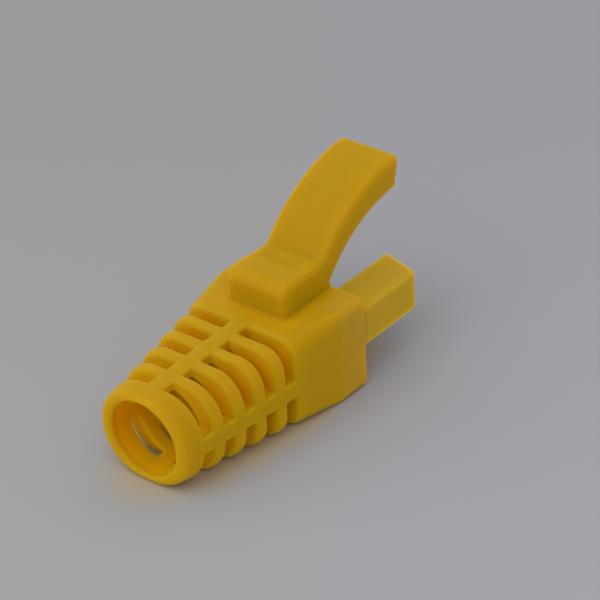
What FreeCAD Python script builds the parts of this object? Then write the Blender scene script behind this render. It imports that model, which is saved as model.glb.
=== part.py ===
import FreeCAD, Part
import math
import os

# A slip-on strain relief boot for a modular data plug, moulded in one piece of soft plastic.
# Millimetres. x runs along the cable from the cable end to the plug end, y across, z up.
# The sizes are measured from the bulkhead, the wall at x = 0 where the bore opens into the
# socket, and the finished boot is moved so that its box's bottom centre is the origin.

Vector = FreeCAD.Vector

# Body: the outline grows from a rounded neck to a square-shouldered body
tail_length = 18.3
neck_width = 9.4
neck_height = 8.35
neck_corner = 4.1
shoulder_length = 5.0
shoulder_corner = 1.8
body_width = 13.2
body_height = 9.0
body_corner = 0.7
body_straight = 3.6
rear_edge_radius = 0.2
flat_least = 0.12

# Cable bore and plug socket
bore_radius = 3.5
bore_height = 4.25
socket_depth = 3.35
socket_wall = 0.65
socket_corner = 0.4

# Flexible tail: rows of four slots, one in each quadrant between the four spines
slot_rows = 5
slot_width = 1.0
slot_pitch = 2.36
collar_length = 2.35
collar_front_radius = 0.55
collar_bore_radius = 0.35
rib_edge_radius = 0.45
spine_width = 1.65
spine_edge_chamfer = 0.15

# Latch guard: a block on the body that rises into a curved arm over the plug's latch
guard_width = 6.4
guard_side_radius = 0.65
block_front = 3.3
block_top = 11.9
block_front_radius = 1.1
arm_reach = 13.55
arm_top = 17.2
arm_outer_radius = 14.9
arm_inner_radius = 13.0
arm_inner_setback = 0.3
arm_tip_thickness = 3.15
arm_tip_lean = 14.0
arm_tip_top_radius = 0.6
arm_tip_low_radius = 0.5
crease_radius = 0.6

# Shallow oval moulding dimple on the block, just in front of the arm
dimple_middle = 0.7
dimple_length = 1.7
dimple_width = 4.2
dimple_depth = 0.14

# Side prongs that carry on past the socket, one each side of the plug's latch
prong_inset = 0.2
prong_gap = 6.6
prong_low = 4.0
prong_high = 8.4
prong_slope = 15.0
prong_reach = 10.85
prong_edge_radius = 0.35


def between(start, end, share):
    return start + (end - start) * share


def outline_size(x):
    """Half width, height and corner radius of the body's outline at x; it stands on z = 0."""
    flare_end = socket_depth - body_straight
    share = min((x + tail_length) / (flare_end + tail_length), 1.0)
    side = between(neck_width, body_width, share) / 2
    height = between(neck_height, body_height, share)
    shoulder = -shoulder_length
    if x < shoulder:
        tail_share = (x + tail_length) / (tail_length - shoulder_length)
        corner = between(neck_corner, shoulder_corner, tail_share)
    else:
        shoulder_share = min((x - shoulder) / (flare_end - shoulder), 1.0)
        corner = between(shoulder_corner, body_corner, shoulder_share)
    roundest = min(side, height / 2) - flat_least / 2
    return side, height, min(corner, roundest)


def outline(x, inset=0.0):
    """The outline at x as a closed wire, drawn in by inset all round."""
    side, height, corner = outline_size(x)
    return rounded_rectangle(x, side - inset, inset, height - inset, corner - inset)


def rounded_rectangle(x, side, low, high, corner):
    """Four straight sides joined by four tangent arcs, across x."""
    middles = [
        (side - corner, high - corner),
        (corner - side, high - corner),
        (corner - side, low + corner),
        (side - corner, low + corner),
    ]
    arcs = []
    for number, (y, z) in enumerate(middles):
        points = []
        for angle in (0, 45, 90):
            turn = math.radians(90 * number + angle)
            points.append(Vector(x, y + corner * math.cos(turn), z + corner * math.sin(turn)))
        arcs.append(points)
    edges = []
    for number, points in enumerate(arcs):
        edges.append(Part.Arc(*points).toShape())
        edges.append(Part.makeLine(points[2], arcs[(number + 1) % len(arcs)][0]))
    return Part.Wire(edges)


def rounding(radius, steps):
    """Set-back and inset of the sections that turn an edge through a quarter circle."""
    sections = []
    for step in range(steps + 1):
        turn = math.radians(90 * step / steps)
        sections.append((radius * (1 - math.cos(turn)), radius * (1 - math.sin(turn))))
    return sections


def ring_stations(start, end, front, rear):
    """x and inset of a ring's sections; front and rear are the roundings of its two edges."""
    stations = [(start + back, inset) for back, inset in front]
    for bend in (-shoulder_length, socket_depth - body_straight):
        if stations[-1][0] < bend < end - rear[-1][0]:
            stations.append((bend, 0.0))
    return stations + [(end - back, inset) for back, inset in reversed(rear)]


def ring(start, end, front, rear):
    """A length of the body's outer form with rounded edges."""
    stations = ring_stations(start, end, front, rear)
    return Part.makeLoft([outline(x, inset) for x, inset in stations], True, True)


def slot_starts():
    first = collar_length - tail_length
    return [first + row * slot_pitch for row in range(slot_rows)]


def rings():
    """Collar, ribs and body: what is left of the outer form between the rows of slots."""
    starts = slot_starts()
    lip = rounding(collar_front_radius, 4)
    rib_edge = rounding(rib_edge_radius, 2)
    rear_edge = rounding(rear_edge_radius, 2)
    fronts = [-tail_length] + [start + slot_width for start in starts]
    rears = starts + [socket_depth]
    front_edges = [lip] + [rib_edge] * slot_rows
    rear_edges = [rib_edge] * slot_rows + [rear_edge]
    return [ring(*values) for values in zip(fronts, rears, front_edges, rear_edges)]


def chamfered_rectangle(x, side, low, high, chamfer):
    points = [
        (side, high - chamfer), (side - chamfer, high),
        (chamfer - side, high), (-side, high - chamfer),
        (-side, low + chamfer), (chamfer - side, low),
        (side - chamfer, low), (side, low + chamfer),
    ]
    return Part.makePolygon([Vector(x, y, z) for y, z in points + points[:1]])


def spines():
    """An upright and a level bar that tie ribs, collar and body together along four lines."""
    front = slot_starts()[0] - rib_edge_radius
    rear = slot_starts()[-1] + slot_width + rib_edge_radius
    half = spine_width / 2
    upright = []
    level = []
    for x in (front, rear):
        side, height, _ = outline_size(x)
        upright.append(chamfered_rectangle(x, half, 0.0, height, spine_edge_chamfer))
        level.append(chamfered_rectangle(
            x, side, bore_height - half, bore_height + half, spine_edge_chamfer))
    return [Part.makeLoft(upright, True, True), Part.makeLoft(level, True, True)]


def bore():
    """The cable's way through, with a rounded mouth at the collar."""
    rear = socket_depth / 2
    points = [Vector(rear, 0, 0), Vector(-tail_length, 0, 0)]
    for back, inset in rounding(collar_bore_radius, 3):
        points.append(Vector(back - tail_length, 0, bore_radius + inset))
    points.append(Vector(rear, 0, bore_radius))
    profile = Part.Face(Part.makePolygon(points + points[:1]))
    hole = profile.revolve(Vector(0, 0, 0), Vector(1, 0, 0), 360)
    hole.translate(Vector(0, 0, bore_height))
    return hole


def socket():
    """Square space behind the bulkhead that takes the back of the plug."""
    side = body_width / 2 - socket_wall
    mouth = rounded_rectangle(0.0, side, socket_wall, body_height - socket_wall, socket_corner)
    return Part.Face(mouth).extrude(Vector(2 * socket_depth, 0, 0))


def arc_height(x, middle_x, middle_z, radius):
    return middle_z + math.sqrt(radius ** 2 - (x - middle_x) ** 2)


def arc_edge(start_x, end_x, middle_x, middle_z, radius):
    points = []
    for x in (start_x, (start_x + end_x) / 2, end_x):
        points.append(Vector(x, 0, arc_height(x, middle_x, middle_z, radius)))
    return Part.Arc(*points).toShape(), points[0], points[2]


def guard_profile():
    """Side view of block and arm: flat block, then two arcs that meet a leaning tip."""
    foot = body_height - socket_wall / 2
    outer_z = arm_top - arm_outer_radius
    crease_x = arm_reach - math.sqrt(arm_outer_radius ** 2 - (block_top - outer_z) ** 2)
    outer, crease, tip_top = arc_edge(crease_x, arm_reach, arm_reach, outer_z, arm_outer_radius)
    inner_x = arm_reach - arm_inner_setback
    inner_z = arm_top - arm_tip_thickness - arm_inner_radius
    tip_x = arm_reach - arm_tip_thickness * math.tan(math.radians(arm_tip_lean))
    inner, tip_low, root = arc_edge(tip_x, socket_depth, inner_x, inner_z, arm_inner_radius)
    front_foot = Vector(-block_front, 0, foot)
    front_top = Vector(-block_front, 0, block_top)
    rear_foot = Vector(socket_depth, 0, foot)
    return Part.Wire([
        Part.makeLine(front_foot, front_top),
        Part.makeLine(front_top, crease),
        outer,
        Part.makeLine(tip_top, tip_low),
        inner,
        Part.makeLine(root, rear_foot),
        Part.makeLine(rear_foot, front_foot),
    ]), front_top, crease, tip_top, tip_low


def edges_through(shape, point):
    """The edges across the guard that pass through a point of its side view."""
    found = []
    for edge in shape.Edges:
        near = [abs(v.Point.x - point.x) < 1e-4 and abs(v.Point.z - point.z) < 1e-4
                for v in edge.Vertexes]
        if len(near) == 2 and all(near):
            found.append(edge)
    return found


def latch_guard():
    profile, front_top, crease, tip_top, tip_low = guard_profile()
    face = Part.Face(profile)
    face.translate(Vector(0, -guard_width / 2, 0))
    guard = face.extrude(Vector(0, guard_width, 0))
    bends = [
        (front_top, block_front_radius),
        (crease, crease_radius),
        (tip_top, arm_tip_top_radius),
        (tip_low, arm_tip_low_radius),
    ]
    for point, radius in bends:
        guard = guard.makeFillet(radius, edges_through(guard, point))
    sides = []
    for edge in guard.Edges:
        middle = edge.valueAt((edge.FirstParameter + edge.LastParameter) / 2)
        on_side = abs(abs(middle.y) - guard_width / 2) < 1e-4
        if on_side and middle.z > body_height:
            sides.append(edge)
    guard = guard.makeFillet(guard_side_radius, sides)
    return guard.cut(dimple())


def dimple():
    """A round-bottomed scoop across the block, with the same rounding at its two ends."""
    half = dimple_length / 2
    radius = (half ** 2 + dimple_depth ** 2) / (2 * dimple_depth)
    reach = dimple_width / 2 - half
    height = block_top - dimple_depth + radius
    start = Vector(dimple_middle, -reach, height)
    end = Vector(dimple_middle, reach, height)
    scoop = Part.makeCylinder(radius, 2 * reach, start, Vector(0, 1, 0))
    return scoop.fuse([Part.makeSphere(radius, start), Part.makeSphere(radius, end)])


def prong(side):
    """One side prong, from inside the bulkhead to its free end; side is 1 or -1."""
    inner = prong_gap / 2
    outer = body_width / 2 - prong_inset
    root = -socket_wall
    outer_high = prong_high - (outer - inner) * math.tan(math.radians(prong_slope))
    corners = [(inner, prong_low), (outer, prong_low), (outer, outer_high), (inner, prong_high)]
    points = [Vector(root, side * y, z) for y, z in corners]
    bar = Part.Face(Part.makePolygon(points + points[:1])).extrude(
        Vector(prong_reach - root, 0, 0))
    rounded = []
    for edge in bar.Edges:
        middle = edge.valueAt((edge.FirstParameter + edge.LastParameter) / 2)
        upper_outer = abs(abs(middle.y) - outer) < 1e-4 and abs(middle.z - outer_high) < 1e-4
        outer_end = abs(abs(middle.y) - outer) < 1e-4 and abs(middle.x - prong_reach) < 1e-4
        if upper_outer or outer_end:
            rounded.append(edge)
    return bar.makeFillet(prong_edge_radius, rounded)


def boot():
    """The whole moulding, with its box's bottom centre at the origin."""
    shape = rings()[0].fuse(rings()[1:] + spines())
    shape = shape.cut([bore(), socket()])
    shape = shape.fuse([latch_guard(), prong(1), prong(-1)])
    shape = shape.removeSplitter()
    box = shape.optimalBoundingBox(False, False)
    shape.translate(Vector(-box.Center.x, 0, -box.ZMin))
    return shape


def main():
    os.makedirs("parts", exist_ok=True)
    shape = boot()
    print("solids", len(shape.Solids), "faces", len(shape.Faces), "volume", round(shape.Volume, 1))
    shape.exportStep("parts/boot.step")


main()
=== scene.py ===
import bmesh
import bpy
from mathutils import Matrix, Vector


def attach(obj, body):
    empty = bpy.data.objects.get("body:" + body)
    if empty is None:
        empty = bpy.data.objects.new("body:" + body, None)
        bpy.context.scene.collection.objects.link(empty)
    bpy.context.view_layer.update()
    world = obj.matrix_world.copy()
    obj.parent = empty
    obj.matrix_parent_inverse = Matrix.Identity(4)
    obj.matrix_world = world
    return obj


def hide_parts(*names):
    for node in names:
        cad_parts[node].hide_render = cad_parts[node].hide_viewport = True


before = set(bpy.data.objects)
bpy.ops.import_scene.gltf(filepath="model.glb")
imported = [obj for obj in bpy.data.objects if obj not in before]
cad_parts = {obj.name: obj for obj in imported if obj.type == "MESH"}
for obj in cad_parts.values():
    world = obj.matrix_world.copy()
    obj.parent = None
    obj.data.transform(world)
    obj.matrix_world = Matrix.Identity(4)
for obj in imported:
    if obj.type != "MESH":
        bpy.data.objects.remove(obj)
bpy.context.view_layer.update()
print("frame loaded")


# camera

cameraSettings = {
    "place": (-0.133439, -0.119526, 0.124251),  # metres, in the boot's own frame
    "right": (0.6258, -0.7781, -0.0538),
    "up": (0.4502, 0.3040, 0.8397),
    "lens": 150.41,
    "sensor": 36.0,
    "nearest": 0.005,
    "farthest": 5.0,
}


def placeCamera():
    data = bpy.data.cameras.new("camera")
    data.lens = cameraSettings["lens"]
    data.sensor_width = cameraSettings["sensor"]
    data.clip_start = cameraSettings["nearest"]
    data.clip_end = cameraSettings["farthest"]
    camera = bpy.data.objects.new("camera", data)
    bpy.context.scene.collection.objects.link(camera)
    right = Vector(cameraSettings["right"]).normalized()
    back = right.cross(Vector(cameraSettings["up"])).normalized()
    turn = Matrix((right, back.cross(right), back)).transposed().to_4x4()
    camera.matrix_world = Matrix.Translation(cameraSettings["place"]) @ turn
    bpy.context.scene.camera = camera


placeCamera()
print("camera placed")


# node helpers

def setOrLink(tree, socket, value):
    if isinstance(value, (float, tuple)):
        socket.default_value = value
    else:
        tree.links.new(value, socket)


def calculate(tree, operation, first, second=None):
    node = tree.nodes.new("ShaderNodeMath")
    node.operation = operation
    setOrLink(tree, node.inputs[0], first)
    if second is not None:
        setOrLink(tree, node.inputs[1], second)
    return node.outputs["Value"]


def calculateVector(tree, operation, first, second=None):
    node = tree.nodes.new("ShaderNodeVectorMath")
    node.operation = operation
    setOrLink(tree, node.inputs[0], first)
    if second is not None:
        setOrLink(tree, node.inputs[1], second)
    return node.outputs["Value" if operation in ("DOT_PRODUCT", "LENGTH") else "Vector"]


def ramp(tree, value, reach, ends=(0.0, 1.0), kind="LINEAR"):
    node = tree.nodes.new("ShaderNodeMapRange")
    node.interpolation_type = kind
    setOrLink(tree, node.inputs["Value"], value)
    node.inputs["From Min"].default_value = reach[0]
    node.inputs["From Max"].default_value = reach[1]
    node.inputs["To Min"].default_value = ends[0]
    node.inputs["To Max"].default_value = ends[1]
    return node.outputs["Result"]


def blend(tree, first, second, share, kind="MIX"):
    node = tree.nodes.new("ShaderNodeMix")
    node.data_type = "RGBA"
    node.blend_type = kind
    setOrLink(tree, node.inputs["A"], first)
    setOrLink(tree, node.inputs["B"], second)
    setOrLink(tree, node.inputs["Factor"], share)
    return node.outputs["Result"]


# moulded plastic

plasticFinish = {
    "baseColour": (0.498, 0.293, 0.0022, 1.0),
    # painted shade: the plastic is darker towards the tail, where the light falls off
    "tailShadeColour": (0.484, 0.295, 0.0022, 1.0),
    "tailShadeReach": (0.001, -0.006),
    "deepColour": (0.715, 0.4, 0.0006, 1.0),  # light gathers in the slots and the bore
    "deepReach": (0.0003, 0.001),
    "deepEnd": 0.0026,
    "footColour": (0.61, 0.325, 0.0022, 1.0),  # and round the foot of the guard block
    "footReach": (0.002, 0.0002),
    "footHeight": (0.0084, 0.0088, 0.00905),
    "thinWallLightColour": (0.51, 0.3, 0.015, 1.0),  # painted light: paler where light shines through the thin wall
    "thinReach": (0.0022, 0.0029),
    "thinSide": (0.0034, 0.0056),
    # painted light: the prongs are paler where light shines through them
    "prongLightColour": (0.525, 0.342, 0.018, 1.0),
    "prongReach": (0.0061, 0.0064),
    "topOfSides": (0.0093, 0.0091),
    "sheenScale": 900.0,
    "sheenReach": (0.3, 0.7),
    "roughness": (0.42, 0.58),
    "gloss": 0.085,
    "subsurface": 1.0,
    "scatterDepth": 0.003,
    "scatterColour": (1.0, 0.55, 0.05),
    "grainScale": 5200.0,  # fine moulding grain
    "grainDetail": 3.0,
    "grainHeight": 0.000006,
}
bodySkin = {  # the outer form of tail and body, at the cable end and at the body
    "reach": (-0.01584, 0.00221),
    "halfWidth": (0.0047, 0.0066),
    "halfHeight": (0.004175, 0.0045),
    "cornerReach": (-0.01584, -0.00254),
    "corner": (0.0041, 0.0018),
}
guardFoot = {"front": -0.00084, "halfWidth": 0.0032}


def depthBelowSkin(tree, x, across, z):
    halfWidth = ramp(tree, x, bodySkin["reach"], bodySkin["halfWidth"])
    halfHeight = ramp(tree, x, bodySkin["reach"], bodySkin["halfHeight"])
    corner = ramp(tree, x, bodySkin["cornerReach"], bodySkin["corner"])
    rise = calculate(tree, "ABSOLUTE", calculate(tree, "SUBTRACT", z, halfHeight))
    pastY = calculate(tree, "ADD", calculate(tree, "SUBTRACT", across, halfWidth), corner)
    pastZ = calculate(tree, "ADD", calculate(tree, "SUBTRACT", rise, halfHeight), corner)
    squareY = calculate(tree, "POWER", calculate(tree, "MAXIMUM", pastY, 0.0), 2.0)
    squareZ = calculate(tree, "POWER", calculate(tree, "MAXIMUM", pastZ, 0.0), 2.0)
    bend = calculate(tree, "SQRT", calculate(tree, "ADD", squareY, squareZ))
    flat = calculate(tree, "MINIMUM", calculate(tree, "MAXIMUM", pastY, pastZ), 0.0)
    depth = calculate(tree, "SUBTRACT", calculate(tree, "SUBTRACT", corner, bend), flat)
    fromCableEnd = calculate(tree, "SUBTRACT", x, bodySkin["reach"][0])
    return calculate(tree, "MINIMUM", depth, fromCableEnd)


def footShare(tree, x, across, z):
    ahead = calculate(tree, "MAXIMUM", calculate(tree, "SUBTRACT", guardFoot["front"], x), 0.0)
    beside = calculate(tree, "SUBTRACT", across, guardFoot["halfWidth"])
    beside = calculate(tree, "MAXIMUM", beside, 0.0)
    square = calculate(tree, "ADD", calculate(tree, "POWER", ahead, 2.0),
                       calculate(tree, "POWER", beside, 2.0))
    distance = calculate(tree, "SQRT", square)
    near = ramp(tree, distance, plasticFinish["footReach"], kind="SMOOTHSTEP")
    low, high, top = plasticFinish["footHeight"]
    onTop = calculate(tree, "MULTIPLY", ramp(tree, z, (low, high)),
                      calculate(tree, "LESS_THAN", z, top))
    return calculate(tree, "MULTIPLY", near, onTop)


def plasticColour(tree, place):
    split = tree.nodes.new("ShaderNodeSeparateXYZ")
    tree.links.new(place, split.inputs["Vector"])
    x, y, z = split.outputs
    across = calculate(tree, "ABSOLUTE", y)
    # painted shade, darker towards the tail
    tail = ramp(tree, x, plasticFinish["tailShadeReach"])
    colour = blend(tree, plasticFinish["baseColour"], plasticFinish["tailShadeColour"], tail)
    depth = depthBelowSkin(tree, x, across, z)
    deep = ramp(tree, depth, plasticFinish["deepReach"], kind="SMOOTHSTEP")
    inTail = calculate(tree, "LESS_THAN", x, plasticFinish["deepEnd"])
    deep = calculate(tree, "MULTIPLY", deep, inTail)
    colour = blend(tree, colour, plasticFinish["deepColour"], deep)
    colour = blend(tree, colour, plasticFinish["footColour"], footShare(tree, x, across, z))
    onSides = ramp(tree, z, plasticFinish["topOfSides"])
    # painted light shining through the thin rear wall of the body
    thin = ramp(tree, x, plasticFinish["thinReach"], kind="SMOOTHSTEP")
    outer = ramp(tree, across, plasticFinish["thinSide"], kind="SMOOTHSTEP")
    thin = calculate(tree, "MULTIPLY", calculate(tree, "MULTIPLY", thin, outer), onSides)
    colour = blend(tree, colour, plasticFinish["thinWallLightColour"], thin)
    # painted light shining through the prongs
    prong = calculate(tree, "MULTIPLY", ramp(tree, x, plasticFinish["prongReach"]), onSides)
    return blend(tree, colour, plasticFinish["prongLightColour"], prong)


def plasticMaterial():
    material = bpy.data.materials.new("mouldedPlastic")
    material.use_nodes = True
    tree = material.node_tree
    tree.nodes.clear()
    out = tree.nodes.new("ShaderNodeOutputMaterial")
    shader = tree.nodes.new("ShaderNodeBsdfPrincipled")
    tree.links.new(shader.outputs["BSDF"], out.inputs["Surface"])
    shader.inputs["Specular IOR Level"].default_value = plasticFinish["gloss"]
    shader.inputs["Subsurface Weight"].default_value = plasticFinish["subsurface"]
    shader.inputs["Subsurface Radius"].default_value = plasticFinish["scatterColour"]
    shader.inputs["Subsurface Scale"].default_value = plasticFinish["scatterDepth"]
    place = tree.nodes.new("ShaderNodeTexCoord").outputs["Object"]
    tree.links.new(plasticColour(tree, place), shader.inputs["Base Color"])
    sheen = tree.nodes.new("ShaderNodeTexNoise")
    sheen.inputs["Scale"].default_value = plasticFinish["sheenScale"]
    tree.links.new(place, sheen.inputs["Vector"])
    sheenReach = plasticFinish["sheenReach"]
    rough = ramp(tree, sheen.outputs["Fac"], sheenReach, plasticFinish["roughness"])
    tree.links.new(rough, shader.inputs["Roughness"])
    grain = tree.nodes.new("ShaderNodeTexNoise")
    grain.inputs["Scale"].default_value = plasticFinish["grainScale"]
    grain.inputs["Detail"].default_value = plasticFinish["grainDetail"]
    tree.links.new(place, grain.inputs["Vector"])
    bump = tree.nodes.new("ShaderNodeBump")
    bump.inputs["Distance"].default_value = plasticFinish["grainHeight"]
    tree.links.new(grain.outputs["Fac"], bump.inputs["Height"])
    tree.links.new(bump.outputs["Normal"], shader.inputs["Normal"])
    return material


# boot: a copy of the solid with every edge softened, as soft plastic comes out of its mould

bootMoulding = {
    "mergeWithin": 0.000001,
    "voxel": 0.0001,
    "smoothing": 4,
    "smoothFactor": 0.5,
    "keptShare": 0.36,
}


def softenBoot(node):
    merged = bmesh.new()
    merged.from_mesh(node.data)
    bmesh.ops.remove_doubles(merged, verts=merged.verts, dist=bootMoulding["mergeWithin"])
    mesh = bpy.data.meshes.new("bootMoulding")
    merged.to_mesh(mesh)
    merged.free()
    piece = bpy.data.objects.new("bootMoulding", mesh)
    bpy.context.scene.collection.objects.link(piece)
    remesh = piece.modifiers.new("remesh", "REMESH")
    remesh.mode = "VOXEL"
    remesh.voxel_size = bootMoulding["voxel"]
    remesh.use_smooth_shade = True
    smooth = piece.modifiers.new("soften", "SMOOTH")
    smooth.iterations = bootMoulding["smoothing"]
    smooth.factor = bootMoulding["smoothFactor"]
    lighten = piece.modifiers.new("lighten", "DECIMATE")
    lighten.ratio = bootMoulding["keptShare"]
    mesh.materials.append(plasticMaterial())
    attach(piece, "root")
    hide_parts("boot")


softenBoot(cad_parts["boot"])
print("boot softened")


# floor and light

floorSettings = {
    "size": 1.6,
    # painted fall-off of light: the paper is lighter towards the camera and darker away from
    # it
    "nearLitColour": (0.42, 0.417, 0.424, 1.0),
    "farDimColour": (0.357, 0.357, 0.36, 1.0),
    "awayReach": (-0.045, 0.055),
    "away": (0.757, 0.653, 0.0),
    "rightTint": (1.0, 0.99, 1.07, 1.0),
    "rightReach": (-0.008, 0.012),
    "right": (0.627, -0.779, 0.0),
    "glowColour": (1.27, 1.05, 0.69, 1.0),  # yellow light that the plastic throws on the paper
    "glowCentre": (-0.0025, 0.0, 0.0),
    "glowOval": (0.0135, 0.006, 1.0),
    "glowReach": (1.35, 0.85),
    "bounceColour": (0.68, 0.67, 0.67, 1.0),
    "roughness": 0.9,
    "gloss": 0.1,
}
worldLight = {
    "colour": (1.0, 1.0, 1.0, 1.0),
    "strength": (0.47, 0.77),
    "brightTowards": (-0.2, 0.95, 0.25),  # it falls off towards the near side
    "brightReach": (-1.0, 1.0),
}
lamps = {
    "softbox": {
        "place": (-0.55, -0.12, 0.82),
        "side": 1.3,
        "power": 5.1,
        "colour": (1.0, 0.99, 0.97),
    },
}


def paperColour(tree, place):
    # painted fall-off of light across the paper
    away = calculateVector(tree, "DOT_PRODUCT", place, floorSettings["away"])
    away = ramp(tree, away, floorSettings["awayReach"])
    colour = blend(tree, floorSettings["nearLitColour"], floorSettings["farDimColour"], away)
    right = calculateVector(tree, "DOT_PRODUCT", place, floorSettings["right"])
    right = ramp(tree, right, floorSettings["rightReach"])
    colour = blend(tree, colour, floorSettings["rightTint"], right, "MULTIPLY")
    oval = calculateVector(tree, "SUBTRACT", place, floorSettings["glowCentre"])
    oval = calculateVector(tree, "DIVIDE", oval, floorSettings["glowOval"])
    distance = calculateVector(tree, "LENGTH", oval)
    near = ramp(tree, distance, floorSettings["glowReach"], kind="SMOOTHSTEP")
    return blend(tree, colour, floorSettings["glowColour"], near, "MULTIPLY")


def layFloor():
    grid = bmesh.new()
    bmesh.ops.create_grid(grid, x_segments=1, y_segments=1, size=floorSettings["size"] / 2)
    mesh = bpy.data.meshes.new("floor")
    grid.to_mesh(mesh)
    grid.free()
    floor = bpy.data.objects.new("floor", mesh)
    bpy.context.scene.collection.objects.link(floor)
    material = bpy.data.materials.new("paper")
    material.use_nodes = True
    tree = material.node_tree
    shader = tree.nodes["Principled BSDF"]
    shader.inputs["Roughness"].default_value = floorSettings["roughness"]
    shader.inputs["Specular IOR Level"].default_value = floorSettings["gloss"]
    place = tree.nodes.new("ShaderNodeTexCoord").outputs["Object"]
    rays = tree.nodes.new("ShaderNodeLightPath").outputs
    seen = calculate(tree, "MAXIMUM", rays["Is Camera Ray"], rays["Is Glossy Ray"])
    seen = calculate(tree, "MAXIMUM", seen, rays["Is Transmission Ray"])
    colour = blend(tree, floorSettings["bounceColour"], paperColour(tree, place), seen)
    tree.links.new(colour, shader.inputs["Base Color"])
    mesh.materials.append(material)


def hangLamp(name, settings):
    data = bpy.data.lights.new(name, "AREA")
    data.size = settings["side"]
    data.energy = settings["power"]
    data.color = settings["colour"]
    lamp = bpy.data.objects.new(name, data)
    bpy.context.scene.collection.objects.link(lamp)
    place = Vector(settings["place"])
    turn = (-place).to_track_quat("-Z", "Y").to_matrix().to_4x4()
    lamp.matrix_world = Matrix.Translation(place) @ turn


def lightWorld():
    world = bpy.data.worlds.new("studio")
    bpy.context.scene.world = world
    world.use_nodes = True
    tree = world.node_tree
    background = tree.nodes["Background"]
    background.inputs["Color"].default_value = worldLight["colour"]
    place = tree.nodes.new("ShaderNodeTexCoord").outputs["Generated"]
    along = calculateVector(tree, "DOT_PRODUCT", place, worldLight["brightTowards"])
    strength = ramp(tree, along, worldLight["brightReach"], worldLight["strength"])
    tree.links.new(strength, background.inputs["Strength"])


layFloor()
for lampName, lampSettings in lamps.items():
    hangLamp(lampName, lampSettings)
lightWorld()
bpy.context.scene.view_settings.view_transform = "Standard"
print("floor and light set")
